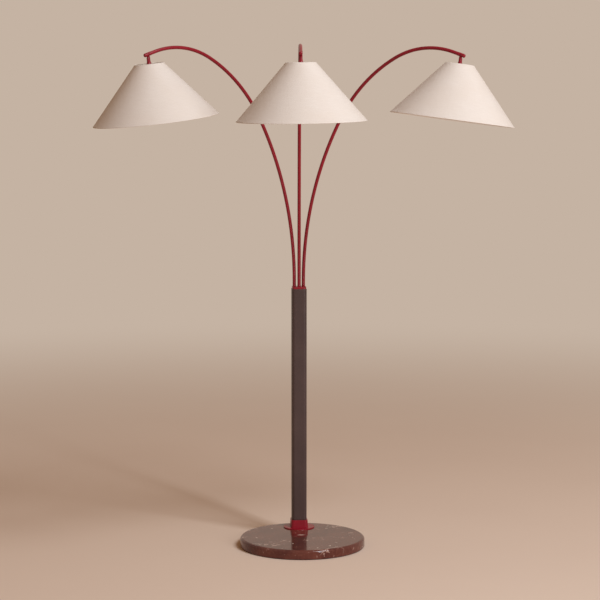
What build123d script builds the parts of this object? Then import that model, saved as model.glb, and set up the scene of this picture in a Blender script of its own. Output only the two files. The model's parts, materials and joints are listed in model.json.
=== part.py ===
from build123d import *

import math
import os

# A tree floor lamp: a polished marble disc carries a square, leather-wrapped stem near its back edge.
# Three thin bent tubes rise out of the stem's cap and arch forward, each with a tilting cone shade.
#
# Row frame: millimetres, +Z up, the floor at Z = 0, the origin under the middle of the marble disc.
# The lamp's front is towards -Y, and the stem stands behind the middle, at +Y.
# An azimuth is measured from the front (-Y) and grows towards +X, the lamp's own left.

# ---- driving dimensions -------------------------------------------------------------------------

# fits and gaps
RUNNING_GAP = 0.06        # radial, between a shaft and the hole it turns in
SEAT_GAP = 0.05           # radial, between pieces that are screwed, glued or pressed together
SLIDE_GAP = 0.2           # per side, between square sections that slide over each other
LOOSE_GAP = 0.3           # between pieces that pass each other as the lamp moves

# marble base and what holds the stem to it
BASE_DIAMETER = 440.0
BASE_THICKNESS = 32.5
BASE_TOP_ROUND = 9.0      # radius of the disc's upper edge, which is rounded over
BASE_FOOT_ARRIS = 3.0
FELT_THICKNESS = 1.5
FELT_INSET = 6.0
BACK_MARGIN = 72.0        # from the stem's axis to the disc's back edge
BOLT_DIAMETER = 10.0
BOLT_HOLE_GAP = 0.5
BOLT_HEAD_FLATS = 17.0
BOLT_HEAD_HEIGHT = 6.4
BOLT_ENGAGEMENT = 8.0
WASHER_DIAMETER = 36.0
WASHER_THICKNESS = 3.0
RECESS_DIAMETER = 42.0
RECESS_DEPTH = 13.0
FELT_HOLE_MARGIN = 4.0

# stem
TUBE_WIDTH = 50.0
TUBE_WALL = 1.5
TUBE_CORNER = 8.5
LEATHER_THICKNESS = 1.4
STEM_HEIGHT = 866.0       # length of the square tube, from the marble up
FOOT_THICKNESS = 9.0

# collar at the foot of the stem
FLANGE_DIAMETER = 112.0
FLANGE_THICKNESS = 3.5
COLLAR_HEIGHT = 26.5
COLLAR_TOP_WALL = 4.5     # from the tube's flat side out to the collar's, at its top edge
COLLAR_FOOT_WALL = 6.25   # the same where it meets the flange
COLLAR_EDGE = 1.0
COLLAR_SCREW_HEIGHT = 22.2
COLLAR_SCREW_LENGTH = 4.0

# inlet of the mains cord, and the terminal block inside the stem
GLAND_HEIGHT = 11.0       # above the flange
GLAND_DIAMETER = 10.0
GLAND_FLANGE_DIAMETER = 14.0
GLAND_FLANGE_THICKNESS = 2.5
GLAND_BORE = 6.5
GLAND_TAIL = 2.0
TERMINAL_WIDTH = 40.0
TERMINAL_DEPTH = 26.0
TERMINAL_HEIGHT = 16.0
TERMINAL_CORNER = 2.0
TERMINAL_SCREW_HOLE = 4.0
TERMINAL_SCREW_DEPTH = 6.0
TERMINAL_POLES = 3

# cap on the stem, with the three sockets that the arms turn in
CAP_INSET = 0.5           # how far the cap's sides stand in from the tube's
CAP_BAND = 8.0
CAP_EDGE = 1.0
CAP_SPIGOT = 36.0
SOCKET_DEPTH = 38.0
SOCKET_SIDE = 16.3        # sideways from the stem's axis to the outer sockets
SOCKET_REAR = 5.9         # back from the stem's axis to the outer sockets
SOCKET_FRONT = 5.9        # forward from the stem's axis to the middle socket
LEAD_HOLE = 8.0
THRUST_WASHER = 1.0
GRUB_DIAMETER = 4.0
GRUB_LENGTH = 12.0
GRUB_KEY = 2.0            # across the flats of the hexagon socket in each grub screw
GRUB_KEY_DEPTH = 2.0
GRUB_DROP = 5.0           # from the cap's top down to the three swivel screws
GROOVE_DEPTH = 0.4
GROOVE_WIDTH = 4.6
CAP_SCREW_DIAMETER = 4.0
CAP_SCREW_HEAD = 7.2
CAP_SCREW_LENGTH = 9.0
CAP_SCREW_DROP = 26.0
CAP_SCREW_FORWARD = 12.0

# arms
ARM_DIAMETER = 12.0
ARM_WALL = 1.2
ARM_STRAIGHT = 20.0       # straight above the cap before the first bend
ROOT_RADIUS = 1159.0      # the three bends that the tube is rolled to, from its root to its tip
ROOT_TURN = 30.0
MIDDLE_RADIUS = 529.0
MIDDLE_TURN = 32.4
TIP_RADIUS = 287.0
TIP_TURN = 46.4
ARM_TIP_STRAIGHT = 18.0   # straight after the last bend, where the knuckle's spigot goes in
LEAD_DIAMETER = 5.4

# knuckle at the arm's tip
KNUCKLE_DIAMETER = 13.0
KNUCKLE_BACK = 12.0       # from the pivot back to the end of the tube
KNUCKLE_NOSE = 16.0       # from the pivot to the rounded end
KNUCKLE_ROUND = 4.5
KNUCKLE_SPIGOT = 16.0
KNUCKLE_ROOF = 1.4
TONGUE_THICKNESS = 4.6
TONGUE_WIDTH = 8.0
TILT_WASHER = 0.5
TILT_WASHER_DIAMETER = 8.6
PIVOT_DIAMETER = 4.0
PIVOT_HEAD_DIAMETER = 7.0
PIVOT_HEAD_DEPTH = 1.6
PIVOT_SLOT_WIDTH = 1.0
PIVOT_SLOT_DEPTH = 0.8
LEAN_LEAST = 1.0          # the neck's least and greatest lean from square to the tube
LEAN_MOST = 38.5

# shade head: neck, lampholder, lamp and shade, measured down from the pivot
NECK_TOP_DIAMETER = 12.0
NECK_FOOT_DIAMETER = 17.0
NECK_WAIST = 17.0
NECK_LENGTH = 33.0
NECK_RIM = 1.2            # height of the straight edge at the neck's foot
NECK_FLARE = 0.8          # how deep the bell's hollow curve is
NECK_SPIGOT_DIAMETER = 10.0
NECK_SPIGOT = 10.0
NECK_BORE = 5.0
HOLDER_GAP = 2.0          # between the neck's foot and the lampholder
HOLDER_TOP_DIAMETER = 24.0
HOLDER_DIAMETER = 39.0
HOLDER_DOME = 12.0
HOLDER_BODY = 9.0
HOLDER_SHOULDER_DIAMETER = 43.0
HOLDER_SHOULDER = 2.0
HOLDER_SKIRT = 20.0
SHADE_RING_DIAMETER = 52.0
SHADE_RING_HEIGHT = 7.0
SHADE_RING_NOTCHES = 12
SHADE_RING_NOTCH = 2.0
LAMP_CAP_DIAMETER = 26.4
LAMP_CAP_LENGTH = 26.0
LAMP_CAP_GAP = 0.4
LAMP_DIAMETER = 60.0
LAMP_LENGTH = 108.0
LAMP_SHOULDER = 35.0      # how far above its middle the ball runs before it turns into the neck
LAMP_GLASS = 1.2
FITTER_WIDTH = 6.0
FITTER_THICKNESS = 2.0
SPOKES = 3
WIRE_DIAMETER = 3.0
SHADE_DROP = 30.5
SHADE_HEIGHT = 188.5
SHADE_TOP_DIAMETER = 96.0
SHADE_FOOT_DIAMETER = 422.5
SHADE_WALL = 1.2
HEM_HEIGHT = 5.0
HEM_THICKNESS = 0.5

# how the three arms and their shades stand
LEFT_AZIMUTH = -55.9
CENTRE_AZIMUTH = -4.2
RIGHT_AZIMUTH = 53.5
LEFT_TILT = 7.3           # tilts of the shades, with the foot towards the stem
CENTRE_TILT = 1.6
RIGHT_TILT = 6.2
LEFT_ROLL = 0.9           # turns of the knuckles about their tubes
CENTRE_ROLL = 0.9
RIGHT_ROLL = -4.3

# ---- heights and places that follow from them ---------------------------------------------------

STEM_SETBACK = BASE_DIAMETER / 2 - BACK_MARGIN
BASE_TOP = FELT_THICKNESS + BASE_THICKNESS
TUBE_TOP = BASE_TOP + STEM_HEIGHT
CAP_TOP = TUBE_TOP + CAP_BAND
COLLAR_TOP = BASE_TOP + FLANGE_THICKNESS + COLLAR_HEIGHT
FOOT_TOP = BASE_TOP + FOOT_THICKNESS
TERMINAL_TOP = FOOT_TOP + TERMINAL_HEIGHT
TUBE_INSIDE = TUBE_WIDTH - 2 * TUBE_WALL
COLLAR_TOP_WIDTH = TUBE_WIDTH + 2 * COLLAR_TOP_WALL
COLLAR_FOOT_WIDTH = TUBE_WIDTH + 2 * COLLAR_FOOT_WALL
CAP_WIDTH = TUBE_WIDTH - 2 * CAP_INSET
CAP_CORNER = TUBE_CORNER - CAP_INSET
ARM_BORE = ARM_DIAMETER - 2 * ARM_WALL
SLOT_WIDTH = TONGUE_THICKNESS + 2 * (TILT_WASHER + RUNNING_GAP)
ARM_BENDS = ((ROOT_RADIUS, ROOT_TURN), (MIDDLE_RADIUS, MIDDLE_TURN), (TIP_RADIUS, TIP_TURN))
TIP_SLOPE = ROOT_TURN + MIDDLE_TURN + TIP_TURN - 90.0   # how far the arm's tip points below level
HOLDER_TOP = -NECK_LENGTH - HOLDER_GAP
SHOULDER_FOOT = HOLDER_TOP - HOLDER_DOME - HOLDER_BODY - HOLDER_SHOULDER
HOLDER_MOUTH = SHOULDER_FOOT - HOLDER_SKIRT
LAMP_TOP = HOLDER_MOUTH + LAMP_CAP_LENGTH
SOCKETS = {
    "left": (-SOCKET_SIDE, SOCKET_REAR),
    "centre": (0.0, -SOCKET_FRONT),
    "right": (SOCKET_SIDE, SOCKET_REAR),
}
AZIMUTHS = {"left": LEFT_AZIMUTH, "centre": CENTRE_AZIMUTH, "right": RIGHT_AZIMUTH}
TILTS = {"left": LEFT_TILT, "centre": CENTRE_TILT, "right": RIGHT_TILT}
ROLLS = {"left": LEFT_ROLL, "centre": CENTRE_ROLL, "right": RIGHT_ROLL}
STEM = Pos(0, STEM_SETBACK, 0)


# ---- small shapes used in several pieces --------------------------------------------------------

def rod(diameter, low, high):
    """A round bar along Z, from one height to the other."""
    return Pos(0, 0, low) * Cylinder(diameter / 2, high - low, align=(Align.CENTER, Align.CENTER, Align.MIN))


def ring(outside, inside, low, high):
    """A round ring along Z, from one height to the other."""
    return rod(outside, low, high) - rod(inside, low, high)


def bar(width, corner, low, high):
    """A square bar with rounded corners, along Z."""
    return Pos(0, 0, low) * extrude(RectangleRounded(width, width, corner), amount=high - low)


def turned(points):
    """A turned piece: the outline's points are (radius, height) pairs, closed back to the first."""
    outline = Polyline(*[(radius, 0, height) for radius, height in points], close=True)
    return revolve(make_face(outline), axis=Axis.Z)


def grub_screw(diameter, length):
    """A headless screw along +Y with its hexagon socket at the outer end, and its tip at the origin."""
    body = rod(diameter, 0, length)
    key = extrude(RegularPolygon(GRUB_KEY / math.sqrt(3), 6), amount=GRUB_KEY_DEPTH)
    return Rot(X=-90) * (body - Pos(0, 0, length - GRUB_KEY_DEPTH) * key)


def rear_hole(diameter, start, end):
    """A round hole along +Y, between two distances from the stem's axis."""
    return Rot(X=-90) * rod(diameter, start, end)


# ---- base ---------------------------------------------------------------------------------------

def make_felt():
    pad = rod(BASE_DIAMETER - 2 * FELT_INSET, 0, FELT_THICKNESS)
    return pad - STEM * rod(RECESS_DIAMETER + FELT_HOLE_MARGIN, 0, FELT_THICKNESS)


def make_marble():
    disc = rod(BASE_DIAMETER, FELT_THICKNESS, BASE_TOP)
    disc = fillet(disc.edges().filter_by(GeomType.CIRCLE).sort_by(Axis.Z)[-1], BASE_TOP_ROUND)
    disc = fillet(disc.edges().filter_by(GeomType.CIRCLE).sort_by(Axis.Z)[0], BASE_FOOT_ARRIS)
    bolt_hole = rod(BOLT_DIAMETER + 2 * BOLT_HOLE_GAP, FELT_THICKNESS, BASE_TOP)
    recess = rod(RECESS_DIAMETER, FELT_THICKNESS, FELT_THICKNESS + RECESS_DEPTH)
    return disc - STEM * bolt_hole - STEM * recess


def make_base_washer():
    roof = FELT_THICKNESS + RECESS_DEPTH
    return STEM * ring(WASHER_DIAMETER, BOLT_DIAMETER + 2 * BOLT_HOLE_GAP, roof - WASHER_THICKNESS, roof)


def make_base_bolt():
    head_top = FELT_THICKNESS + RECESS_DEPTH - WASHER_THICKNESS
    head = extrude(RegularPolygon(BOLT_HEAD_FLATS / math.sqrt(3), 6), amount=BOLT_HEAD_HEIGHT)
    shank = rod(BOLT_DIAMETER, head_top, BASE_TOP + BOLT_ENGAGEMENT)
    return STEM * (Pos(0, 0, head_top - BOLT_HEAD_HEIGHT) * head + shank)


# ---- stem ---------------------------------------------------------------------------------------

def make_foot():
    plug = bar(TUBE_INSIDE - 2 * SEAT_GAP, TUBE_CORNER - TUBE_WALL - SEAT_GAP, BASE_TOP, FOOT_TOP)
    return STEM * (plug - rod(BOLT_DIAMETER + 2 * SEAT_GAP, BASE_TOP, FOOT_TOP))


def gland_level():
    return BASE_TOP + FLANGE_THICKNESS + GLAND_HEIGHT


def cap_screw_places():
    """Where the two countersunk screws through the stem's side walls start, and which way they point."""
    height = CAP_TOP - CAP_SCREW_DROP
    for side in (-1, 1):
        yield Pos(side * TUBE_WIDTH / 2, -CAP_SCREW_FORWARD, height) * Rot(Y=-side * 90)


def countersunk(diameter, head, length):
    """A countersunk screw along +Z with its head's face at the origin."""
    cone = (head - diameter) / 2
    points = [(0, 0), (head / 2, 0), (diameter / 2, cone), (diameter / 2, length), (0, length)]
    return turned(points)


def make_stem_tube():
    outside = bar(TUBE_WIDTH, TUBE_CORNER, BASE_TOP, TUBE_TOP)
    inside = bar(TUBE_INSIDE, TUBE_CORNER - TUBE_WALL, BASE_TOP, TUBE_TOP)
    tube = outside - inside
    tube -= Pos(0, 0, gland_level()) * rear_hole(GLAND_DIAMETER + 2 * SEAT_GAP, 0, TUBE_WIDTH)
    for place in cap_screw_places():
        tube -= place * countersunk(CAP_SCREW_DIAMETER + 2 * SEAT_GAP, CAP_SCREW_HEAD + 2 * SEAT_GAP,
                                    CAP_SCREW_LENGTH)
    return STEM * tube


def make_leather():
    outside = bar(TUBE_WIDTH + 2 * LEATHER_THICKNESS, TUBE_CORNER + LEATHER_THICKNESS, COLLAR_TOP, TUBE_TOP)
    return STEM * (outside - bar(TUBE_WIDTH, TUBE_CORNER, COLLAR_TOP, TUBE_TOP))


def make_collar():
    foot = BASE_TOP + FLANGE_THICKNESS
    corner = TUBE_CORNER + LEATHER_THICKNESS
    sides = loft([Pos(0, 0, foot) * RectangleRounded(COLLAR_FOOT_WIDTH, COLLAR_FOOT_WIDTH, corner),
                  Pos(0, 0, COLLAR_TOP) * RectangleRounded(COLLAR_TOP_WIDTH, COLLAR_TOP_WIDTH, corner)])
    sides = chamfer(sides.faces().sort_by(Axis.Z)[-1].edges(), COLLAR_EDGE)
    flange = rod(FLANGE_DIAMETER, BASE_TOP, foot)
    flange = chamfer(flange.edges().group_by(Axis.Z)[-1], COLLAR_EDGE)
    collar = flange + sides
    collar -= bar(TUBE_WIDTH + 2 * SLIDE_GAP, TUBE_CORNER + SLIDE_GAP, BASE_TOP, COLLAR_TOP)
    seat = COLLAR_TOP_WIDTH / 2
    gland = Pos(0, 0, gland_level())
    collar -= gland * rear_hole(GLAND_DIAMETER + 2 * SEAT_GAP, 0, seat)
    collar -= gland * rear_hole(GLAND_FLANGE_DIAMETER + 2 * LOOSE_GAP, seat, COLLAR_FOOT_WIDTH)
    screw = Pos(0, 0, foot + COLLAR_SCREW_HEIGHT)
    collar -= screw * rear_hole(GRUB_DIAMETER + 2 * SEAT_GAP, 0, COLLAR_FOOT_WIDTH)
    return STEM * collar


def make_collar_screw():
    place = Pos(0, TUBE_WIDTH / 2, BASE_TOP + FLANGE_THICKNESS + COLLAR_SCREW_HEIGHT)
    return STEM * place * grub_screw(GRUB_DIAMETER, COLLAR_SCREW_LENGTH)


def make_gland():
    seat = COLLAR_TOP_WIDTH / 2
    inner = TUBE_INSIDE / 2 - GLAND_TAIL
    body = rear_hole(GLAND_DIAMETER, inner, seat)
    flange = rear_hole(GLAND_FLANGE_DIAMETER, seat, seat + GLAND_FLANGE_THICKNESS)
    flange = fillet(flange.edges().group_by(Axis.Y)[-1], GLAND_FLANGE_THICKNESS / 2)
    bore = rear_hole(GLAND_BORE, inner, seat + GLAND_FLANGE_THICKNESS)
    return STEM * Pos(0, 0, gland_level()) * (body + flange - bore)


def make_terminal_block():
    block = Pos(0, 0, FOOT_TOP) * Box(TERMINAL_WIDTH, TERMINAL_DEPTH, TERMINAL_HEIGHT,
                                      align=(Align.CENTER, Align.CENTER, Align.MIN))
    block = fillet(block.edges().filter_by(Axis.Z), TERMINAL_CORNER)
    pitch = TERMINAL_WIDTH / TERMINAL_POLES
    for pole in range(TERMINAL_POLES):
        x = (pole - (TERMINAL_POLES - 1) / 2) * pitch
        hole = rear_hole(TERMINAL_SCREW_HOLE, TERMINAL_DEPTH / 2 - TERMINAL_SCREW_DEPTH, TERMINAL_DEPTH / 2)
        block -= Pos(x, 0, FOOT_TOP + TERMINAL_HEIGHT / 2) * hole
    return STEM * block


# ---- cap ----------------------------------------------------------------------------------------

def make_top_cap():
    band = bar(CAP_WIDTH, CAP_CORNER, TUBE_TOP, CAP_TOP)
    band = fillet(band.faces().sort_by(Axis.Z)[-1].edges(), CAP_EDGE)
    spigot = bar(TUBE_INSIDE - 2 * SEAT_GAP, TUBE_CORNER - TUBE_WALL - SEAT_GAP, TUBE_TOP - CAP_SPIGOT, TUBE_TOP)
    cap = band + spigot
    for side, back in SOCKETS.values():
        axis = Pos(side, back, 0)
        cap -= axis * rod(ARM_DIAMETER + 2 * RUNNING_GAP, CAP_TOP - SOCKET_DEPTH, CAP_TOP)
        cap -= axis * rod(LEAD_HOLE, TUBE_TOP - CAP_SPIGOT, CAP_TOP)
        screw = Pos(side, back, CAP_TOP - GRUB_DROP)
        cap -= screw * rear_hole(GRUB_DIAMETER + 2 * SEAT_GAP, 0, CAP_WIDTH)
    for place in cap_screw_places():
        cap -= place * rod(CAP_SCREW_DIAMETER + 2 * SEAT_GAP, 0, CAP_SCREW_LENGTH + SEAT_GAP)
    return STEM * cap


def make_cap_screws():
    screw = countersunk(CAP_SCREW_DIAMETER, CAP_SCREW_HEAD, CAP_SCREW_LENGTH)
    return [STEM * place * screw for place in cap_screw_places()]


def make_swivel_screws():
    """One screw behind each arm: its tip runs in the groove round the tube, holds it in and drags on it."""
    tip = ARM_DIAMETER / 2 - GROOVE_DEPTH + RUNNING_GAP
    screw = grub_screw(GRUB_DIAMETER, GRUB_LENGTH)
    return [STEM * Pos(side, back + tip, CAP_TOP - GRUB_DROP) * screw for side, back in SOCKETS.values()]


def make_thrust_washer(arm):
    side, back = SOCKETS[arm]
    floor = CAP_TOP - SOCKET_DEPTH
    return STEM * Pos(side, back, 0) * ring(ARM_DIAMETER, LEAD_HOLE, floor, floor + THRUST_WASHER)


# ---- arms ---------------------------------------------------------------------------------------
# An arm is drawn in its own frame: the origin is on its socket's axis at the cap's top, +Z is up and
# +X is the way that it reaches out.

def arm_frame(arm):
    side, back = SOCKETS[arm]
    return Location((side, STEM_SETBACK + back, CAP_TOP), (0, 0, AZIMUTHS[arm] - 90))


def arm_line(start, straight_end):
    """The arm's centre line: straight up from the start height, through the bends, then straight on."""
    edges = [Line((0, 0, start), (0, 0, ARM_STRAIGHT))]
    x, z, heading = 0.0, ARM_STRAIGHT, 0.0
    for radius, turn in ARM_BENDS:
        centre_x = x + radius * math.cos(heading)
        centre_z = z - radius * math.sin(heading)
        stops = []
        for part in (0.5, 1.0):
            angle = heading + math.radians(turn) * part
            stops.append((centre_x - radius * math.cos(angle), 0, centre_z + radius * math.sin(angle)))
        edges.append(ThreePointArc((x, 0, z), *stops))
        heading += math.radians(turn)
        x, z = stops[-1][0], stops[-1][2]
    end = (x + straight_end * math.sin(heading), 0, z + straight_end * math.cos(heading))
    edges.append(Line((x, 0, z), end))
    return Wire(edges), end


def swept(diameter, start, straight_end):
    line, end = arm_line(start, straight_end)
    return sweep(Pos(0, 0, start) * Circle(diameter / 2), path=line)


def make_arm_tube(arm):
    start = THRUST_WASHER - SOCKET_DEPTH
    tube = swept(ARM_DIAMETER, start, ARM_TIP_STRAIGHT) - swept(ARM_BORE, start, ARM_TIP_STRAIGHT)
    low = -GRUB_DROP - GROOVE_WIDTH / 2
    groove = ring(2 * ARM_DIAMETER, ARM_DIAMETER - 2 * GROOVE_DEPTH, low, low + GROOVE_WIDTH)
    return arm_frame(arm) * (tube - groove)


def make_arm_lead(arm):
    """The lamp's own flex, in one length from the terminal block up the stem and through the arm."""
    start = TERMINAL_TOP + LOOSE_GAP - CAP_TOP
    return arm_frame(arm) * swept(LEAD_DIAMETER, start, ARM_TIP_STRAIGHT)


def knuckle_frame(arm):
    """The pivot, with +X along the arm's tip and +Y the tilt axis, turned by the roll of the knuckle."""
    pivot = arm_line(0, ARM_TIP_STRAIGHT + KNUCKLE_BACK)[1]
    return arm_frame(arm) * Pos(*pivot) * Rot(Y=TIP_SLOPE) * Rot(X=ROLLS[arm])


def head_frame(arm):
    """The pivot, with -Z down the neck."""
    return knuckle_frame(arm) * Rot(Y=TILTS[arm] - TIP_SLOPE)


def tongue_sweep():
    """How far the tongue reaches along the knuckle's underside at either end of its tilt."""
    half = TONGUE_WIDTH / 2
    reach = KNUCKLE_DIAMETER / 2
    most = math.radians(LEAN_MOST)
    return -half - LOOSE_GAP, half / math.cos(most) + reach * math.tan(most) + LOOSE_GAP


def make_knuckle(arm):
    radius = KNUCKLE_DIAMETER / 2
    body = rod(KNUCKLE_DIAMETER, -KNUCKLE_BACK, KNUCKLE_NOSE)
    body = fillet(body.edges().group_by(Axis.Z)[-1], KNUCKLE_ROUND)
    spigot = rod(ARM_BORE - 2 * SEAT_GAP, -KNUCKLE_BACK - KNUCKLE_SPIGOT, -KNUCKLE_BACK)
    lead_way = rod(LEAD_DIAMETER + 2 * LOOSE_GAP, -KNUCKLE_BACK - KNUCKLE_SPIGOT, 0)
    body = Rot(Y=90) * (body + spigot - lead_way)
    low, high = tongue_sweep()
    roof = radius - KNUCKLE_ROOF
    slot = Pos((low + high) / 2, 0, (roof - KNUCKLE_DIAMETER) / 2) * Box(high - low, SLOT_WIDTH,
                                                                        roof + KNUCKLE_DIAMETER)
    body -= slot
    body -= pivot_hole(PIVOT_DIAMETER + 2 * SEAT_GAP, -radius, radius)
    head = radius - PIVOT_HEAD_DEPTH
    body -= pivot_hole(PIVOT_HEAD_DIAMETER + 2 * SEAT_GAP, head, 2 * radius)
    return knuckle_frame(arm) * body


def pivot_hole(diameter, start, end):
    """A round bar along the tilt axis."""
    return Rot(X=-90) * rod(diameter, start, end)


def make_pivot_screw(arm):
    radius = KNUCKLE_DIAMETER / 2
    head = radius - PIVOT_HEAD_DEPTH
    screw = pivot_hole(PIVOT_DIAMETER, PIVOT_HEAD_DEPTH - radius, head)
    screw += pivot_hole(PIVOT_HEAD_DIAMETER, head, radius)
    screw -= Pos(0, radius, 0) * Box(PIVOT_HEAD_DIAMETER, 2 * PIVOT_SLOT_DEPTH, PIVOT_SLOT_WIDTH)
    return knuckle_frame(arm) * screw


def make_tilt_washers(arm):
    washers = []
    for side in (-1, 1):
        near = side * (SLOT_WIDTH / 2 - TILT_WASHER / 2)
        disc = ring(TILT_WASHER_DIAMETER, PIVOT_DIAMETER + 2 * SEAT_GAP, -TILT_WASHER / 2, TILT_WASHER / 2)
        washers.append(knuckle_frame(arm) * Pos(0, near, 0) * Rot(X=90) * disc)
    return washers


# ---- shade heads --------------------------------------------------------------------------------
# A head is drawn in its own frame: the origin is the pivot, -Z runs down the neck and +Y is the tilt axis.

def make_neck(arm):
    top, foot = NECK_TOP_DIAMETER / 2, NECK_FOOT_DIAMETER / 2
    waist = -NECK_WAIST
    rim = NECK_RIM - NECK_LENGTH
    across = math.atan2(foot - top, waist - rim)
    middle = ((top + foot) / 2 - NECK_FLARE * math.cos(across), 0,
              (waist + rim) / 2 - NECK_FLARE * math.sin(across))
    outline = [
        Line((0, 0, 0), (top, 0, 0)),
        Line((top, 0, 0), (top, 0, waist)),
        ThreePointArc((top, 0, waist), middle, (foot, 0, rim)),
        Line((foot, 0, rim), (foot, 0, -NECK_LENGTH)),
        Line((foot, 0, -NECK_LENGTH), (0, 0, -NECK_LENGTH)),
        Line((0, 0, -NECK_LENGTH), (0, 0, 0)),
    ]
    neck = revolve(make_face(Wire(outline)), axis=Axis.Z)
    for lean in (LEAN_LEAST, LEAN_MOST):
        neck -= knuckle_room(lean)
    neck += Pos(0, 0, -NECK_WAIST / 2) * Box(TONGUE_WIDTH, TONGUE_THICKNESS, NECK_WAIST)
    neck += pivot_hole(TONGUE_WIDTH, -TONGUE_THICKNESS / 2, TONGUE_THICKNESS / 2)
    neck += rod(NECK_SPIGOT_DIAMETER, -NECK_LENGTH - NECK_SPIGOT, -NECK_LENGTH)
    neck -= rod(NECK_BORE, -NECK_LENGTH - NECK_SPIGOT, -NECK_WAIST)
    neck -= pivot_hole(PIVOT_DIAMETER + 2 * RUNNING_GAP, -TONGUE_THICKNESS, TONGUE_THICKNESS)
    return head_frame(arm) * neck


def knuckle_room(lean):
    """What the knuckle takes up of the neck, with the neck leaning that far from square to the tube."""
    reach = KNUCKLE_DIAMETER / 2 + LOOSE_GAP
    length = 2 * (KNUCKLE_BACK + KNUCKLE_NOSE + NECK_TOP_DIAMETER)
    return Rot(Y=lean) * Pos(0, 0, reach) * Box(length, 2 * NECK_FOOT_DIAMETER, 4 * reach)


def make_lampholder(arm):
    radius = HOLDER_DIAMETER / 2
    dome_foot = HOLDER_TOP - HOLDER_DOME
    body_foot = dome_foot - HOLDER_BODY
    points = [
        (0, HOLDER_TOP), (HOLDER_TOP_DIAMETER / 2, HOLDER_TOP), (radius, dome_foot), (radius, body_foot),
        (HOLDER_SHOULDER_DIAMETER / 2, body_foot), (HOLDER_SHOULDER_DIAMETER / 2, SHOULDER_FOOT),
        (radius, SHOULDER_FOOT), (radius, HOLDER_MOUTH), (0, HOLDER_MOUTH),
    ]
    holder = turned(points)
    holder -= rod(NECK_SPIGOT_DIAMETER + 2 * SEAT_GAP, -NECK_LENGTH - NECK_SPIGOT - SEAT_GAP, HOLDER_TOP)
    holder -= rod(LAMP_CAP_DIAMETER + 2 * LAMP_CAP_GAP, HOLDER_MOUTH, LAMP_TOP + LAMP_CAP_GAP)
    return head_frame(arm) * holder


def make_shade_ring(arm):
    top = SHOULDER_FOOT - FITTER_THICKNESS
    nut = ring(SHADE_RING_DIAMETER, HOLDER_DIAMETER + 2 * SEAT_GAP, top - SHADE_RING_HEIGHT, top)
    for notch in range(SHADE_RING_NOTCHES):
        angle = 360 / SHADE_RING_NOTCHES * notch
        place = Rot(Z=angle) * Pos(SHADE_RING_DIAMETER / 2, 0, 0)
        nut -= place * rod(SHADE_RING_NOTCH, top - SHADE_RING_HEIGHT, top)
    return head_frame(arm) * nut


def shade_radius(depth):
    """The shade's outer radius, that far below its top edge."""
    spread = (SHADE_FOOT_DIAMETER - SHADE_TOP_DIAMETER) / 2
    return SHADE_TOP_DIAMETER / 2 + spread * depth / SHADE_HEIGHT


def shade_slant():
    """The wall's thickness measured level, across the slanting cloth."""
    spread = (SHADE_FOOT_DIAMETER - SHADE_TOP_DIAMETER) / 2
    return SHADE_WALL * math.hypot(spread, SHADE_HEIGHT) / SHADE_HEIGHT


def wire_ring(depth):
    """A ring of wire inside the shade, its middle that far below the top edge."""
    radius = shade_radius(depth) - shade_slant() - wire_inset()
    return Pos(0, 0, -SHADE_DROP - depth) * Torus(radius, WIRE_DIAMETER / 2), radius


def wire_inset():
    """How far in from the slanting cloth, measured level, the middle of a wire lies."""
    return (WIRE_DIAMETER / 2 + SEAT_GAP) * shade_slant() / SHADE_WALL


def make_fitter(arm):
    """The shade's top ring, welded by its spokes to the flat ring that the lampholder clamps."""
    low = SHOULDER_FOOT - FITTER_THICKNESS
    inner = HOLDER_DIAMETER + 2 * SEAT_GAP
    outer = inner + 2 * FITTER_WIDTH
    fitter, top_radius = wire_ring(WIRE_DIAMETER)
    fitter += ring(outer, inner, low, SHOULDER_FOOT)
    start = Vector((outer - WIRE_DIAMETER) / 2, 0, SHOULDER_FOOT - FITTER_THICKNESS / 2)
    end = Vector(top_radius, 0, -SHADE_DROP - WIRE_DIAMETER)
    spoke = Solid.make_cylinder(WIRE_DIAMETER / 2, (end - start).length, Plane(start, z_dir=end - start))
    for number in range(SPOKES):
        fitter += Rot(Z=360 / SPOKES * number + 180 / SPOKES) * spoke
    fitter -= rod(inner, low - WIRE_DIAMETER, SHOULDER_FOOT + WIRE_DIAMETER)
    fitter -= rod(outer + 2 * WIRE_DIAMETER, low - WIRE_DIAMETER, low)
    return head_frame(arm) * fitter


def make_foot_ring(arm):
    return head_frame(arm) * wire_ring(SHADE_HEIGHT - WIRE_DIAMETER)[0]


def make_shade(arm):
    """The cloth on its stiff backing: a thin cone, a little thicker where the hems are turned over."""
    top, foot = -SHADE_DROP, -SHADE_DROP - SHADE_HEIGHT
    level = shade_slant()
    hem = HEM_THICKNESS
    points = [
        (shade_radius(0) - level, top),
        (shade_radius(0) + hem, top),
        (shade_radius(HEM_HEIGHT) + hem, top - HEM_HEIGHT),
        (shade_radius(HEM_HEIGHT + hem), top - HEM_HEIGHT - hem),
        (shade_radius(SHADE_HEIGHT - HEM_HEIGHT - hem), foot + HEM_HEIGHT + hem),
        (shade_radius(SHADE_HEIGHT - HEM_HEIGHT) + hem, foot + HEM_HEIGHT),
        (shade_radius(SHADE_HEIGHT) + hem, foot),
        (shade_radius(SHADE_HEIGHT) - level, foot),
    ]
    return head_frame(arm) * turned(points)


def make_lamp_cap(arm):
    return head_frame(arm) * rod(LAMP_CAP_DIAMETER, HOLDER_MOUTH, LAMP_TOP)


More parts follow.
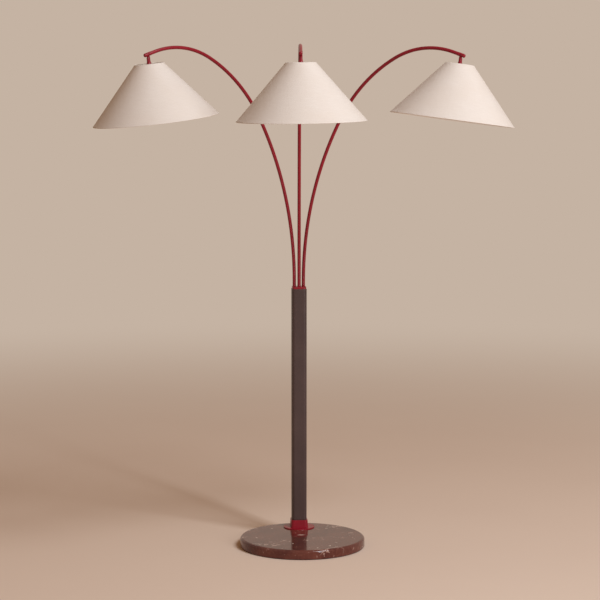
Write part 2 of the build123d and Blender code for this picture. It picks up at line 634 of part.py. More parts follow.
def lamp_profile(inset):
    """The corners of the lamp's outline, in from the outside of the glass: mouth, shoulder, side, foot."""
    radius = LAMP_DIAMETER / 2 - inset
    middle = LAMP_TOP - LAMP_LENGTH + LAMP_DIAMETER / 2
    angle = math.radians(LAMP_SHOULDER)
    mouth = (LAMP_CAP_DIAMETER / 2 - inset, 0, HOLDER_MOUTH)
    shoulder = (radius * math.cos(angle), 0, middle + radius * math.sin(angle))
    side = (radius * math.cos(angle), 0, middle - radius * math.sin(angle))
    return mouth, shoulder, side, (0, 0, middle - radius)


def make_lamp(arm):
    """The blown glass of the lamp, open at its cap: a neck that swells into a ball."""
    mouth, shoulder, side, foot = lamp_profile(0)
    inner_mouth, inner_shoulder, inner_side, inner_foot = lamp_profile(LAMP_GLASS)
    outline = [
        Line(mouth, shoulder),
        ThreePointArc(shoulder, side, foot),
        Line(foot, inner_foot),
        ThreePointArc(inner_foot, inner_side, inner_shoulder),
        Line(inner_shoulder, inner_mouth),
        Line(inner_mouth, mouth),
    ]
    return head_frame(arm) * revolve(make_face(Wire(outline)), axis=Axis.Z)


# ---- the whole lamp -----------------------------------------------------------------------------

STAND = {
    "base_felt": make_felt,
    "marble_base": make_marble,
    "base_washer": make_base_washer,
    "base_bolt": make_base_bolt,
    "base_collar": make_collar,
    "collar_screw": make_collar_screw,
    "stem_tube": make_stem_tube,
    "leather_sleeve": make_leather,
    "stem_foot": make_foot,
    "terminal_block": make_terminal_block,
    "cable_gland": make_gland,
    "top_cap": make_top_cap,
    "cap_screws": make_cap_screws,
    "swivel_screws": make_swivel_screws,
}
PER_ARM = {
    "thrust_washer": make_thrust_washer,
    "arm_tube": make_arm_tube,
    "arm_lead": make_arm_lead,
    "knuckle": make_knuckle,
    "pivot_screw": make_pivot_screw,
    "tilt_washers": make_tilt_washers,
    "neck": make_neck,
    "lampholder": make_lampholder,
    "shade_ring": make_shade_ring,
    "shade_fitter": make_fitter,
    "shade_foot_ring": make_foot_ring,
    "shade": make_shade,
    "bulb_cap": make_lamp_cap,
    "bulb": make_lamp,
}


def write(name, shape):
    """One STEP file for one node. A node of several loose pieces comes as a list."""
    if isinstance(shape, list):
        shape = Compound(children=[Compound(piece.wrapped) for piece in shape])
    export_step(shape, f"parts/{name}.step")


def main():
    os.makedirs("parts", exist_ok=True)
    for name, make in STAND.items():
        write(name, make())
    for arm in SOCKETS:
        for name, make in PER_ARM.items():
            write(f"{name}_{arm}", make(arm))
    line, pivot = arm_line(0, ARM_TIP_STRAIGHT + KNUCKLE_BACK)
    print("overall height", round(CAP_TOP + line.bounding_box().max.Z + ARM_DIAMETER / 2, 1))
    print("reach of an arm", round(pivot[0], 1), "pivot height", round(CAP_TOP + pivot[2], 1))
    print("slope of the tip", round(TIP_SLOPE, 1))


main()
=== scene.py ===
# %% [markdown]
# # A tree floor lamp
#
# The lamp has a polished marble disc, a square stem wrapped in leather, and three thin red tubes
# that rise out of the stem's cap and arch over, each with a cream linen shade.
#
# The pieces that were drawn as solids come in first and are not moved. This lesson dresses them:
# it builds the cloth of the shades and the leather of the stem as finer meshes, and it gives every
# surface its finish. Everything is in metres, +Z is up, and the lamp's front looks towards -Y.

import json
import math

import bmesh
import bpy
from mathutils import Matrix, Vector, noise


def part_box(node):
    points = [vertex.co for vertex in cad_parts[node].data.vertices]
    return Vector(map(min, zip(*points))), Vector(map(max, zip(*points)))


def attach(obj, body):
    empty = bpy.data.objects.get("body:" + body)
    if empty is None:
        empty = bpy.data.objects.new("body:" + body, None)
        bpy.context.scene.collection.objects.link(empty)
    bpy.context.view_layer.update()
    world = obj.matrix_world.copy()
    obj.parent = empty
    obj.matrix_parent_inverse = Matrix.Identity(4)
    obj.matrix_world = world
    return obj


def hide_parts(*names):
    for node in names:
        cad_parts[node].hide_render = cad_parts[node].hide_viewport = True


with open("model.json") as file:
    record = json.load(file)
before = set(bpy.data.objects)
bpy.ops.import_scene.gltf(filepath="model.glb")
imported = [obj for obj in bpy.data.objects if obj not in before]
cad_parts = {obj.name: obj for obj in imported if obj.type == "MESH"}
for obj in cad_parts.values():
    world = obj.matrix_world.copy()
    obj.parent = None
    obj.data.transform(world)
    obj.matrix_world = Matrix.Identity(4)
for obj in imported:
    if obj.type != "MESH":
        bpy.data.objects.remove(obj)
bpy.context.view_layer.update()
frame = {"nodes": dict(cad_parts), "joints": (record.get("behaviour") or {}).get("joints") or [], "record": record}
NODES = frame["nodes"]
ARMS = ("left", "centre", "right")
MM = 0.001

# %% [markdown]
# ## The camera
#
# The photograph was taken from about 6.7 m with a long lens, a little to the left of the lamp's
# middle and about as high as the shades, tilted down so that the whole lamp fits. A long lens keeps
# the near and the far shades almost the same size. The place, the tilt and the lens below were
# worked out from the disc's ellipse, the stem's height and the corners of the shades.

# %% The camera
CAMERA_PLACE = Vector((-0.5437, -6.5392, 1.558))
CAMERA_TURN = math.radians(4.68)      # how far the view swings from +Y towards +X
CAMERA_DIP = math.radians(5.95)       # below the level
LENS_PX = 1888.2                      # focal length, in pixels of the 600-pixel picture
PICTURE_PX = 600.0
SENSOR_MM = 36.0


def put_in(name, data):
    """A new object in the scene."""
    piece = bpy.data.objects.new(name, data)
    bpy.context.scene.collection.objects.link(piece)
    return piece


def aim(piece, direction):
    """Turns a camera or a light, which look along their own -Z."""
    piece.rotation_euler = direction.to_track_quat("-Z", "Y").to_euler()


def make_camera():
    data = bpy.data.cameras.new("camera")
    data.sensor_width = SENSOR_MM
    data.lens = LENS_PX / PICTURE_PX * SENSOR_MM
    camera = put_in("camera", data)
    camera.location = CAMERA_PLACE
    level = Vector((math.sin(CAMERA_TURN), math.cos(CAMERA_TURN), 0))
    aim(camera, level * math.cos(CAMERA_DIP) - Vector((0, 0, math.sin(CAMERA_DIP))))
    bpy.context.scene.camera = camera
    return camera


print("lens", round(make_camera().data.lens, 1), "mm")

# %% [markdown]
# ## Colours and nodes
#
# A colour is written the way a picture shows it, as sRGB hex, and one function turns it to the
# linear light that the shaders use. A finish is a small tree of nodes. One function adds a node of
# any kind with its settings and its inputs, and gives back one of its outputs, so that a finish
# reads as a short list of what is laid over what.
#
# Noise is drawn by how often it repeats in a metre, but a maker thinks in the size of a blot, so
# another function turns millimetres to that.

# %% Helpers for colours and nodes


def linear(hex_colour):
    """An sRGB hex colour as linear red, green, blue and alpha, by the curve of that standard."""
    channels = [int(hex_colour[i:i + 2], 16) / 255 for i in (1, 3, 5)]
    return [c / 12.92 if c <= 0.04045 else ((c + 0.055) / 1.055) ** 2.4 for c in channels] + [1.0]


def per_metre(size_mm):
    """How many patterns of that size go in a metre."""
    return 1 / (size_mm * MM)


def add(tree, kind, inputs=(), out=0, **settings):
    """Adds a node and gives back its output of that number or name.

    The inputs are values, hex colours or other nodes' outputs, in the order of the node's sockets
    or as a dictionary of them. The settings are the node's properties.
    """
    node = tree.nodes.new("ShaderNode" + kind)
    for name, value in settings.items():
        setattr(node, name, value)
    by_socket = inputs if isinstance(inputs, dict) else dict(enumerate(inputs))
    for socket, value in by_socket.items():
        if isinstance(value, bpy.types.NodeSocket):
            tree.links.new(value, node.inputs[socket])
        else:
            node.inputs[socket].default_value = linear(value) if isinstance(value, str) else value
    return node.outputs[out] if node.outputs else None


def new_finish(name):
    """An empty material, its tree, and the point on the piece in metres."""
    finish = bpy.data.materials.new(name)
    finish.use_nodes = True
    tree = finish.node_tree
    tree.nodes.clear()
    return finish, tree, add(tree, "TexCoord", out="Object")


print("pure white is", linear("#ffffff")[:3], "and middle grey is", round(linear("#808080")[0], 3))

# %% [markdown]
# ## The floor
#
# The lamp stands on a plain, pale, warm floor that fades into an equally plain background. A curved
# backdrop would do that for one view only. Here the floor turns into flat background colour far
# from the lamp, so no horizon shows from any side. It does so only for what the camera, a mirror or
# glass sees, and everywhere else it is an ordinary matt floor that keeps the lamp's shadow. Seen
# from below, the floor isn't there, which lets one look up into the shades.

# %% The floor
FLOOR_COLOUR = "#eddbcb"
FLOOR_BLOTS = "#e9d6c6"
FLOOR_BLOT_SIZE = 700.0     # mm
BACKGROUND_COLOUR = "#c5b3a3"
FLOOR_REACH = 60.0          # m, half the width of the floor
FADE_START = 1.0            # m from the lamp
FADE_END = 7.0


def seen(tree):
    """1 for a ray that comes from the camera, off a mirror or through glass, and otherwise 0."""
    ray = add(tree, "LightPath").node.outputs
    direct = add(tree, "Math", (ray["Is Camera Ray"], ray["Is Glossy Ray"]), operation="MAXIMUM")
    return add(tree, "Math", (direct, ray["Is Transmission Ray"]), operation="MAXIMUM")


def make_floor_finish():
    finish, tree, spot = new_finish("floor")
    distance = add(tree, "VectorMath", (spot,), out="Value", operation="LENGTH")
    far = add(tree, "MapRange", (distance, FADE_START, FADE_END), interpolation_type="SMOOTHSTEP")
    blots = add(tree, "TexNoise", {"Vector": spot, "Scale": per_metre(FLOOR_BLOT_SIZE)})
    colour = add(tree, "Mix", {0: blots, 6: FLOOR_COLOUR, 7: FLOOR_BLOTS}, out=2, data_type="RGBA")
    near = add(tree, "BsdfDiffuse", {"Color": colour})
    flat = add(tree, "Emission", {"Color": BACKGROUND_COLOUR})
    share = add(tree, "Math", (far, seen(tree)), operation="MULTIPLY")
    faded = add(tree, "MixShader", (share, near, flat))
    below = add(tree, "NewGeometry", out="Backfacing")
    one_sided = add(tree, "MixShader", (below, faded, add(tree, "BsdfTransparent")))
    add(tree, "OutputMaterial", {"Surface": one_sided})
    return finish


def make_floor():
    mesh = bpy.data.meshes.new("floor")
    sides = ((-1, -1), (1, -1), (1, 1), (-1, 1))
    corners = [(x * FLOOR_REACH, y * FLOOR_REACH, 0) for x, y in sides]
    mesh.from_pydata(corners, [], [(0, 1, 2, 3)])
    mesh.materials.append(make_floor_finish())
    return put_in("floor", mesh)


floor = make_floor()
print("the floor reaches", FLOOR_REACH, "m each way")

# %% [markdown]
# ## The light
#
# Even, warm light comes from all round. A picture of a room could light the lamp too, but the metal
# would then mirror things that aren't there. The camera and the mirrors see plain background colour
# instead, the same as the floor's, so the light can be set without changing the picture's ground.

# %% The even light
SKY_COLOUR = "#ffcb9c"
SKY_STRENGTH = 0.26


def make_sky():
    world = bpy.data.worlds.new("background")
    world.use_nodes = True
    tree = world.node_tree
    tree.nodes.clear()
    light = add(tree, "Background", {"Color": SKY_COLOUR, "Strength": SKY_STRENGTH})
    flat = add(tree, "Background", {"Color": BACKGROUND_COLOUR, "Strength": 1.0})
    add(tree, "OutputWorld", {"Surface": add(tree, "MixShader", (seen(tree), light, flat))})
    return world


bpy.context.scene.world = make_sky()
bpy.context.scene.view_settings.view_transform = "Standard"
print("even light of strength", SKY_STRENGTH)

# %% [markdown]
# One large softbox hangs high up and far off, in front and to the right. It gives the shades bright
# right-hand sides and leaves their left-hand sides dark, and from so far away it lights all three
# alike. It is about three metres wide, so the thin stem throws no hard shadow on the floor.
#
# A narrow, upright and much weaker one stands lower, like a slit of window. Its mirror image draws
# the bright line down the stem's rounded corner and along the tubes. It stands where the floor has
# nearly faded, so that it leaves no bright patch.

# %% The softboxes
LAMP_MIDDLE = Vector((0.0, -0.1, 1.1))
SOFTBOX_COLOUR = "#f6faff"
KEY_PLACE = Vector((3.9, -4.9, 6.7))
KEY_SIDE = 3.2              # m
KEY_WATTS = 460.0
WINDOW_PLACE = Vector((2.7, -5.2, 1.6))
WINDOW_WIDTH = 0.5          # m
WINDOW_HEIGHT = 2.4
WINDOW_WATTS = 72.0


def make_softbox(name, place, width, height, watts):
    data = bpy.data.lights.new(name, "AREA")
    data.shape = "RECTANGLE"
    data.size = width
    data.size_y = height
    data.energy = watts
    data.color = linear(SOFTBOX_COLOUR)[:3]
    box = put_in(name, data)
    box.location = place
    aim(box, LAMP_MIDDLE - place)
    box.visible_camera = False
    print(name, round((LAMP_MIDDLE - place).length, 2), "m from the lamp")


make_softbox("key_light", KEY_PLACE, KEY_SIDE, KEY_SIDE, KEY_WATTS)
make_softbox("window_light", WINDOW_PLACE, WINDOW_WIDTH, WINDOW_HEIGHT, WINDOW_WATTS)

# %% [markdown]
# ## Polished marble
#
# The disc is a dark red-brown marble, ground and polished. Calcite has an index near 1.5, and the
# polish leaves it smooth enough to mirror the stem. The stone is mottled. Thin pale veins wander
# through it and break off, and small white flecks show where shell or calcite is cut across.
#
# Cell patterns give veins that close into a net, like crazed glaze. A vein that wanders is better
# drawn as the line on which a soft noise passes through its middle value, let through only in some
# places. To make such a line ragged, the point that the noise is read at is pushed about first.

# %% Veins and specks in stone
NOISE_MIDDLE = 0.5
VEIN_BEND = 18.0            # mm, the size of a vein's small bends
VEIN_PUSH = 9.0             # mm, how far they go
GATE_SIZE = 1.1             # where veins show, in vein sizes
GATE_HEIGHT = 1.7           # the gate's pattern is flatter than it is wide
GATE_EDGE = 0.06
SPECK_SIZE = 8.0            # mm
SPECK_LEVEL = 0.748         # only the peaks of the noise are specks
SPECK_EDGE = 0.03


def bent(tree, spot, size_mm, by_mm):
    """The point, pushed about by noise, so that what is drawn there wanders."""
    push = add(tree, "TexNoise", {"Vector": spot, "Scale": per_metre(size_mm), "Detail": 5.0,
                                  "Roughness": 0.6}, out="Color")
    centred = add(tree, "VectorMath", (push, (NOISE_MIDDLE,) * 3), operation="SUBTRACT")
    scaled = add(tree, "VectorMath", {0: centred, 3: by_mm * MM}, operation="SCALE")
    return add(tree, "VectorMath", (spot, scaled), operation="ADD")


def veins(tree, spot, size_mm, width_mm, gate_level):
    """Thin lines that wander, where a second noise is above the gate's level."""
    level = add(tree, "TexNoise", {"Vector": bent(tree, spot, VEIN_BEND, VEIN_PUSH),
                                   "Scale": per_metre(size_mm), "Detail": 4.0})
    off = add(tree, "Math", (level, NOISE_MIDDLE), operation="SUBTRACT")
    away = add(tree, "Math", (off,), operation="ABSOLUTE")
    line = add(tree, "MapRange", (away, 0.0, width_mm / size_mm, 1.0, 0.0))
    flatter = add(tree, "Mapping", {"Vector": spot, "Scale": (1.0, 1.0, GATE_HEIGHT)})
    gate = add(tree, "TexNoise", {"Vector": flatter, "Scale": per_metre(GATE_SIZE * size_mm),
                                  "Detail": 3.0})
    let_through = add(tree, "MapRange", (gate, gate_level, gate_level + GATE_EDGE))
    return add(tree, "Math", (line, let_through), operation="MULTIPLY")


def specks(tree, spot):
    """Small specks with ragged edges."""
    level = add(tree, "TexNoise", {"Vector": spot, "Scale": per_metre(SPECK_SIZE)})
    return add(tree, "MapRange", (level, SPECK_LEVEL, SPECK_LEVEL + SPECK_EDGE))


print("specks of about", SPECK_SIZE, "mm, veins that bend every", VEIN_BEND, "mm")

# %% [markdown]
# Chance puts most of the marks. The few that show most in the photograph are listed: one
# broken fleck and one vein in front of the stem, and some round flecks. A fleck is an oval, whose
# edge is made ragged in the same way as a vein. The largest is broken up by a finer noise.

# %% The listed flecks
# place on the disc, then half width and half depth, all in mm
PLACED_FLECKS = (
    (-4, 18, 17, 8), (-99, 131, 4, 4), (-181, 103, 4, 5), (-163, -12, 4, 5), (-139, -124, 5, 5),
    (97, 115, 5, 5), (110, -106, 4, 5), (83, -155, 6, 5), (-42, -113, 4, 5), (38, -181, 5, 5),
)
FLECK_BEND = 9.0            # mm
FLECK_RIM = 0.7             # of the oval's radius, where the fleck starts to fade
BREAK_SIZE = 5.0            # mm, the pieces that the large fleck is broken into
BREAK_RANGE = (0.4, 0.5)


def placed_flecks(tree, spot):
    """The pale flecks that show most, each an oval with a ragged edge."""
    ragged = bent(tree, spot, FLECK_BEND, FLECK_BEND)
    together = 0.0
    for x, y, half_width, half_depth in PLACED_FLECKS:
        near = add(tree, "VectorMath", (ragged, (x * MM, y * MM, 0)), operation="SUBTRACT")
        stretch = (per_metre(half_width), per_metre(half_depth), 0)
        inside = add(tree, "VectorMath", (near, stretch), operation="MULTIPLY")
        away = add(tree, "VectorMath", (inside,), out="Value", operation="LENGTH")
        fleck = add(tree, "MapRange", (away, 1.0, FLECK_RIM))
        together = add(tree, "Math", (together, fleck), operation="MAXIMUM")
    pieces = add(tree, "TexNoise", {"Vector": spot, "Scale": per_metre(BREAK_SIZE), "Detail": 4.0})
    broken = add(tree, "MapRange", (pieces, *BREAK_RANGE))
    return add(tree, "Math", (together, broken), operation="MULTIPLY")


print(len(PLACED_FLECKS), "flecks put by hand")

# %% The placed vein
CROSSING_START = 0.016      # m, where the vein before the stem starts and ends, along x
CROSSING_END = 0.148
CROSSING_PLACE = -0.028     # m, along y
CROSSING_BEND = 42.0        # mm
CROSSING_PUSH = 85.0
CROSSING_WIDTH = 1.7 * MM
CROSSING_TAPER = 4.0 * MM
GAP_SIZE = 22.0             # mm, between the gaps in that vein
GAP_SHARE = 0.25            # how much of the vein is left in a gap


def placed_vein(tree, spot):
    """The vein that crosses the disc in front of the stem, to the right."""
    wandering = bent(tree, spot, CROSSING_BEND, CROSSING_PUSH)
    x, y, _ = add(tree, "SeparateXYZ", (wandering,)).node.outputs
    off = add(tree, "Math", (y, CROSSING_PLACE), operation="SUBTRACT")
    away = add(tree, "Math", (off,), operation="ABSOLUTE")
    line = add(tree, "MapRange", (away, 0.0, CROSSING_WIDTH, 1.0, 0.0))
    started = add(tree, "MapRange", (x, CROSSING_START, CROSSING_START + CROSSING_TAPER))
    unended = add(tree, "MapRange", (x, CROSSING_END, CROSSING_END - CROSSING_TAPER))
    within = add(tree, "Math", (started, unended), operation="MULTIPLY")
    whole = add(tree, "Math", (line, within), operation="MULTIPLY")
    gaps = add(tree, "TexNoise", {"Vector": spot, "Scale": per_metre(GAP_SIZE), "Detail": 3.0})
    left = add(tree, "MapRange", (gaps, *BREAK_RANGE, GAP_SHARE, 1.0))
    return add(tree, "Math", (whole, left), operation="MULTIPLY")


print("the vein before the stem is", round(CROSSING_END - CROSSING_START, 3), "m long")

# %% [markdown]
# The stone itself is two dark browns in clouds as wide as a thumb is long, with finer, lighter
# grains over them. The veins and then the flecks lie over that.

# %% Marble
STONE_DARK = "#50231e"
STONE_LIGHT = "#6a382e"
STONE_GRAINS = "#7d4d40"
VEIN_COLOUR = "#c4a598"
FLECK_COLOUR = "#dccabd"
STONE_CLOUDS = 60.0         # mm
CLOUD_RANGE = (0.35, 0.65)
GRAIN_CLOUDS = 7.0          # mm
GRAIN_RANGE = (0.5, 0.8)
GRAIN_SHARE = 0.7
VEIN_SIZE = 130.0           # mm between a vein's large bends
VEIN_WIDTH = 1.3            # mm
VEIN_GATE = 0.52
HAIRLINE_SIZE = 34.0        # mm
HAIRLINE_WIDTH = 0.9
HAIRLINE_GATE = 0.59

FINISHES = {}


def stone_ground(tree, spot):
    """The stone's own colour, before its marks."""
    clouds = add(tree, "TexNoise", {"Vector": spot, "Scale": per_metre(STONE_CLOUDS),
                                    "Detail": 6.0})
    share = add(tree, "MapRange", (clouds, *CLOUD_RANGE))
    brown = add(tree, "Mix", {0: share, 6: STONE_DARK, 7: STONE_LIGHT}, out=2, data_type="RGBA")
    grains = add(tree, "TexNoise", {"Vector": spot, "Scale": per_metre(GRAIN_CLOUDS),
                                    "Detail": 3.0})
    share = add(tree, "MapRange", (grains, *GRAIN_RANGE, 0.0, GRAIN_SHARE))
    return add(tree, "Mix", {0: share, 6: brown, 7: STONE_GRAINS}, out=2, data_type="RGBA")


def make_marble():
    finish, tree, spot = new_finish("polished_marble")
    wide = veins(tree, spot, VEIN_SIZE, VEIN_WIDTH, VEIN_GATE)
    fine = veins(tree, spot, HAIRLINE_SIZE, HAIRLINE_WIDTH, HAIRLINE_GATE)
    lines = add(tree, "Math", (wide, fine), operation="MAXIMUM")
    lines = add(tree, "Math", (lines, placed_vein(tree, spot)), operation="MAXIMUM")
    veined = add(tree, "Mix", {0: lines, 6: stone_ground(tree, spot), 7: VEIN_COLOUR}, out=2,
                 data_type="RGBA")
    marks = add(tree, "Math", (specks(tree, spot), placed_flecks(tree, spot)), operation="MAXIMUM")
    colour = add(tree, "Mix", {0: marks, 6: veined, 7: FLECK_COLOUR}, out=2, data_type="RGBA")
    shader = add(tree, "BsdfPrincipled", {"Base Color": colour, "Roughness": 0.11, "IOR": 1.5,
                                          "Specular IOR Level": 0.4})
    add(tree, "OutputMaterial", {"Surface": shader})
    return finish


FINISHES["marble"] = make_marble()
print("marble:", len(FINISHES["marble"].node_tree.nodes), "nodes")

# %% [markdown]
# ## Red enamel
#
# The tubes, the collar and the cap are steel, sprayed with an oxblood red enamel and baked. The
# enamel hides the metal, so it is not metallic: it is a coloured layer with a clear, glossy skin of
# index 1.5 that carries narrow highlights. Spraying leaves a faint orange peel, a few millimetres
# across, which is drawn as relief. The red varies a little where the coat is thicker.

# %% Red enamel
ENAMEL_RED = "#940e26"
ENAMEL_THICK = "#880b21"
COAT_CLOUDS = 25.0          # mm
COAT_RANGE = (0.3, 0.7)
PEEL_SIZE = 3.0             # mm
PEEL_DEPTH = 0.02 * MM


def make_enamel():
    finish, tree, spot = new_finish("red_enamel")
    clouds = add(tree, "TexNoise", {"Vector": spot, "Scale": per_metre(COAT_CLOUDS), "Detail": 3.0})
    share = add(tree, "MapRange", (clouds, *COAT_RANGE))
    colour = add(tree, "Mix", {0: share, 6: ENAMEL_RED, 7: ENAMEL_THICK}, out=2, data_type="RGBA")
    peel = add(tree, "TexNoise", {"Vector": spot, "Scale": per_metre(PEEL_SIZE), "Detail": 1.0})
    relief = add(tree, "Bump", {"Height": peel, "Distance": PEEL_DEPTH})
    shader = add(tree, "BsdfPrincipled", {"Base Color": colour, "Roughness": 0.3, "IOR": 1.5,
                                          "Specular IOR Level": 0.4, "Normal": relief})
    add(tree, "OutputMaterial", {"Surface": shader})
    return finish


FINISHES["red_lacquer"] = make_enamel()
print("red enamel:", len(FINISHES["red_lacquer"].node_tree.nodes), "nodes")

# %% [markdown]
# ## Leather
#
# The stem's sleeve is a smooth, dyed cowhide with a semi-matt finish. It shows a fine pebbled
# grain, with slightly paler high spots where it has been handled. Noise alone would look like
# suede, so the grain is drawn with small cells whose borders sink in. The borders are also darkened
# in colour, which is painted shade in the creases. It is coarser than real grain, about 2.5 mm, so
# that it still shows at this distance.

# %% Leather
LEATHER_BROWN = "#4b3b39"
LEATHER_WORN = "#574542"
# painted shade: the colour that the grain's creases are darkened to
LEATHER_CREASE_SHADE = "#32262a"
GRAIN_SIZE = 2.5            # mm
GRAIN_BEND = 8.0
GRAIN_PUSH = 2.0
GRAIN_EDGE = 0.25           # of a cell, over which the surface rises from the crease
GRAIN_DEPTH = 0.05 * MM
CREASE_SHADE_SHARE = 0.35
WORN_SIZE = 120.0           # mm
WORN_RANGE = (0.35, 0.7)
HIDE_WAVES = 30.0           # mm


def make_leather():
    finish, tree, spot = new_finish("cowhide")
    at = bent(tree, spot, GRAIN_BEND, GRAIN_PUSH)
    pebbles = add(tree, "TexVoronoi", {"Vector": at, "Scale": per_metre(GRAIN_SIZE)},
                  out="Distance", feature="DISTANCE_TO_EDGE")
    high = add(tree, "MapRange", (pebbles, 0.0, GRAIN_EDGE))
    handled = add(tree, "TexNoise", {"Vector": spot, "Scale": per_metre(WORN_SIZE), "Detail": 4.0})
    worn = add(tree, "MapRange", (handled, *WORN_RANGE))
    brown = add(tree, "Mix", {0: worn, 6: LEATHER_BROWN, 7: LEATHER_WORN}, out=2, data_type="RGBA")
    # painted shade: the cells' borders, where the grain sinks, are darkened in colour
    crease_shade = add(tree, "MapRange", (high, 0.0, 1.0, CREASE_SHADE_SHARE, 0.0))
    colour = add(tree, "Mix", {0: crease_shade, 6: brown, 7: LEATHER_CREASE_SHADE}, out=2, data_type="RGBA")
    waves = add(tree, "TexNoise", {"Vector": spot, "Scale": per_metre(HIDE_WAVES)})
    height = add(tree, "Math", (high, waves), operation="ADD")
    relief = add(tree, "Bump", {"Height": height, "Distance": GRAIN_DEPTH})
    shader = add(tree, "BsdfPrincipled", {"Base Color": colour, "Roughness": 0.36, "IOR": 1.5,
                                          "Specular IOR Level": 0.3, "Normal": relief})
    add(tree, "OutputMaterial", {"Surface": shader})
    return finish


FINISHES["leather"] = make_leather()
print("leather:", len(FINISHES["leather"].node_tree.nodes), "nodes")

# %% [markdown]
# ## Linen
#
# The shades are covered in a plain-woven cream linen. Flax yarn is uneven, so single threads swell
# into long slubs, and the weave has a dry, matt face with a little sheen at a low angle. Real
# threads are about 0.5 mm apart. They are drawn 1.6 mm apart here, because finer ones would vanish
# in the picture.
#
# A pattern in space would cut across the cone. The threads follow it: the warp runs down the slant
# and the weft runs round. The shade's own u, v map gives those two directions in metres.

# %% Threads and slubs
THREAD_SPACING = 1.6        # mm
SLUB_SIZE = 2.5             # mm, a thick thread's width
SLUB_STRETCH = 0.06         # of its width in its length
SLUB_RANGE = (0.42, 0.72)


def threads(tree, along):
    """0 between threads and 1 on their backs, across one direction of the cloth."""
    turns = add(tree, "Math", (along, 2 * math.pi * per_metre(THREAD_SPACING)),
                operation="MULTIPLY")
    wave = add(tree, "Math", (turns,), operation="SINE")
    return add(tree, "MapRange", (wave, -1.0, 1.0))


def slubs(tree, cloth_spot, stretch):
    """Long soft streaks where a thread is thick."""
    at = add(tree, "Mapping", {"Vector": cloth_spot, "Scale": stretch})
    streaks = add(tree, "TexNoise", {"Vector": at, "Scale": per_metre(SLUB_SIZE)})
    return add(tree, "MapRange", (streaks, *SLUB_RANGE))


print("threads", THREAD_SPACING, "mm apart, slubs", round(SLUB_SIZE / SLUB_STRETCH), "mm long")

# %% Linen
LINEN_SHADOW = "#e2dad2"
LINEN_CREAM = "#ede6e0"
LINEN_SLUB = "#f1ebe5"
LINEN_STAIN = "#dfd3c7"
CREAM_SHARE = 0.5
SLUB_SHARE = 0.4
STAIN_SIZE = 90.0           # mm
STAIN_RANGE = (0.4, 0.7)
STAIN_SHARE = 0.3
WEAVE_DEPTH = 0.04 * MM


def make_linen():
    finish, tree, spot = new_finish("linen")
    cloth_spot = add(tree, "UVMap", uv_map="cloth")
    around, down, _ = add(tree, "SeparateXYZ", (cloth_spot,)).node.outputs
    weave = add(tree, "Math", (threads(tree, around), threads(tree, down)), operation="MULTIPLY")
    thick = add(tree, "Math", (slubs(tree, cloth_spot, (1, SLUB_STRETCH, 1)),
                               slubs(tree, cloth_spot, (SLUB_STRETCH, 1, 1))), operation="MAXIMUM")
    share = add(tree, "MapRange", (weave, 0.0, 1.0, 0.0, CREAM_SHARE))
    woven = add(tree, "Mix", {0: share, 6: LINEN_SHADOW, 7: LINEN_CREAM}, out=2, data_type="RGBA")
    share = add(tree, "MapRange", (thick, 0.0, 1.0, 0.0, SLUB_SHARE))
    uneven = add(tree, "Mix", {0: share, 6: woven, 7: LINEN_SLUB}, out=2, data_type="RGBA")
    stains = add(tree, "TexNoise", {"Vector": spot, "Scale": per_metre(STAIN_SIZE), "Detail": 3.0})
    share = add(tree, "MapRange", (stains, *STAIN_RANGE, 0.0, STAIN_SHARE))
    colour = add(tree, "Mix", {0: share, 6: uneven, 7: LINEN_STAIN}, out=2, data_type="RGBA")
    height = add(tree, "Math", (weave, thick), operation="ADD")
    relief = add(tree, "Bump", {"Height": height, "Distance": WEAVE_DEPTH})
    shader = add(tree, "BsdfPrincipled", {"Base Color": colour, "Roughness": 0.85, "IOR": 1.5,
                                          "Sheen Weight": 0.15, "Sheen Roughness": 0.5,
                                          "Normal": relief})
    add(tree, "OutputMaterial", {"Surface": shader})
    return finish


FINISHES["linen"] = make_linen()
print("linen:", len(FINISHES["linen"].node_tree.nodes), "nodes")

# %% [markdown]
# ## The small pieces' finishes
#
# The cloth is glued to a thin white styrene sheet, which is the smooth, slightly shiny lining one
# sees from below. The shade's wires are steel with a white plastic coat. The lampholder is moulded
# black thermoset, and the lamp is opal glass over a bare aluminium cap. Inside the stem are leads
# in silicone, a polyamide terminal block, nylon washers and zinc-plated screws. A pad of wool felt
# lies under the marble, and waxed linen thread closes the leather.
#
# Each of these is even to the eye, so one function makes them all: two close colours in soft blots,
# over a relief as fine as moulding, plating or felting leaves. A flat colour would look like paper.

# %% Plain finishes
BLOT_RANGE = (0.3, 0.7)
BUMPS_PER_BLOT = 8

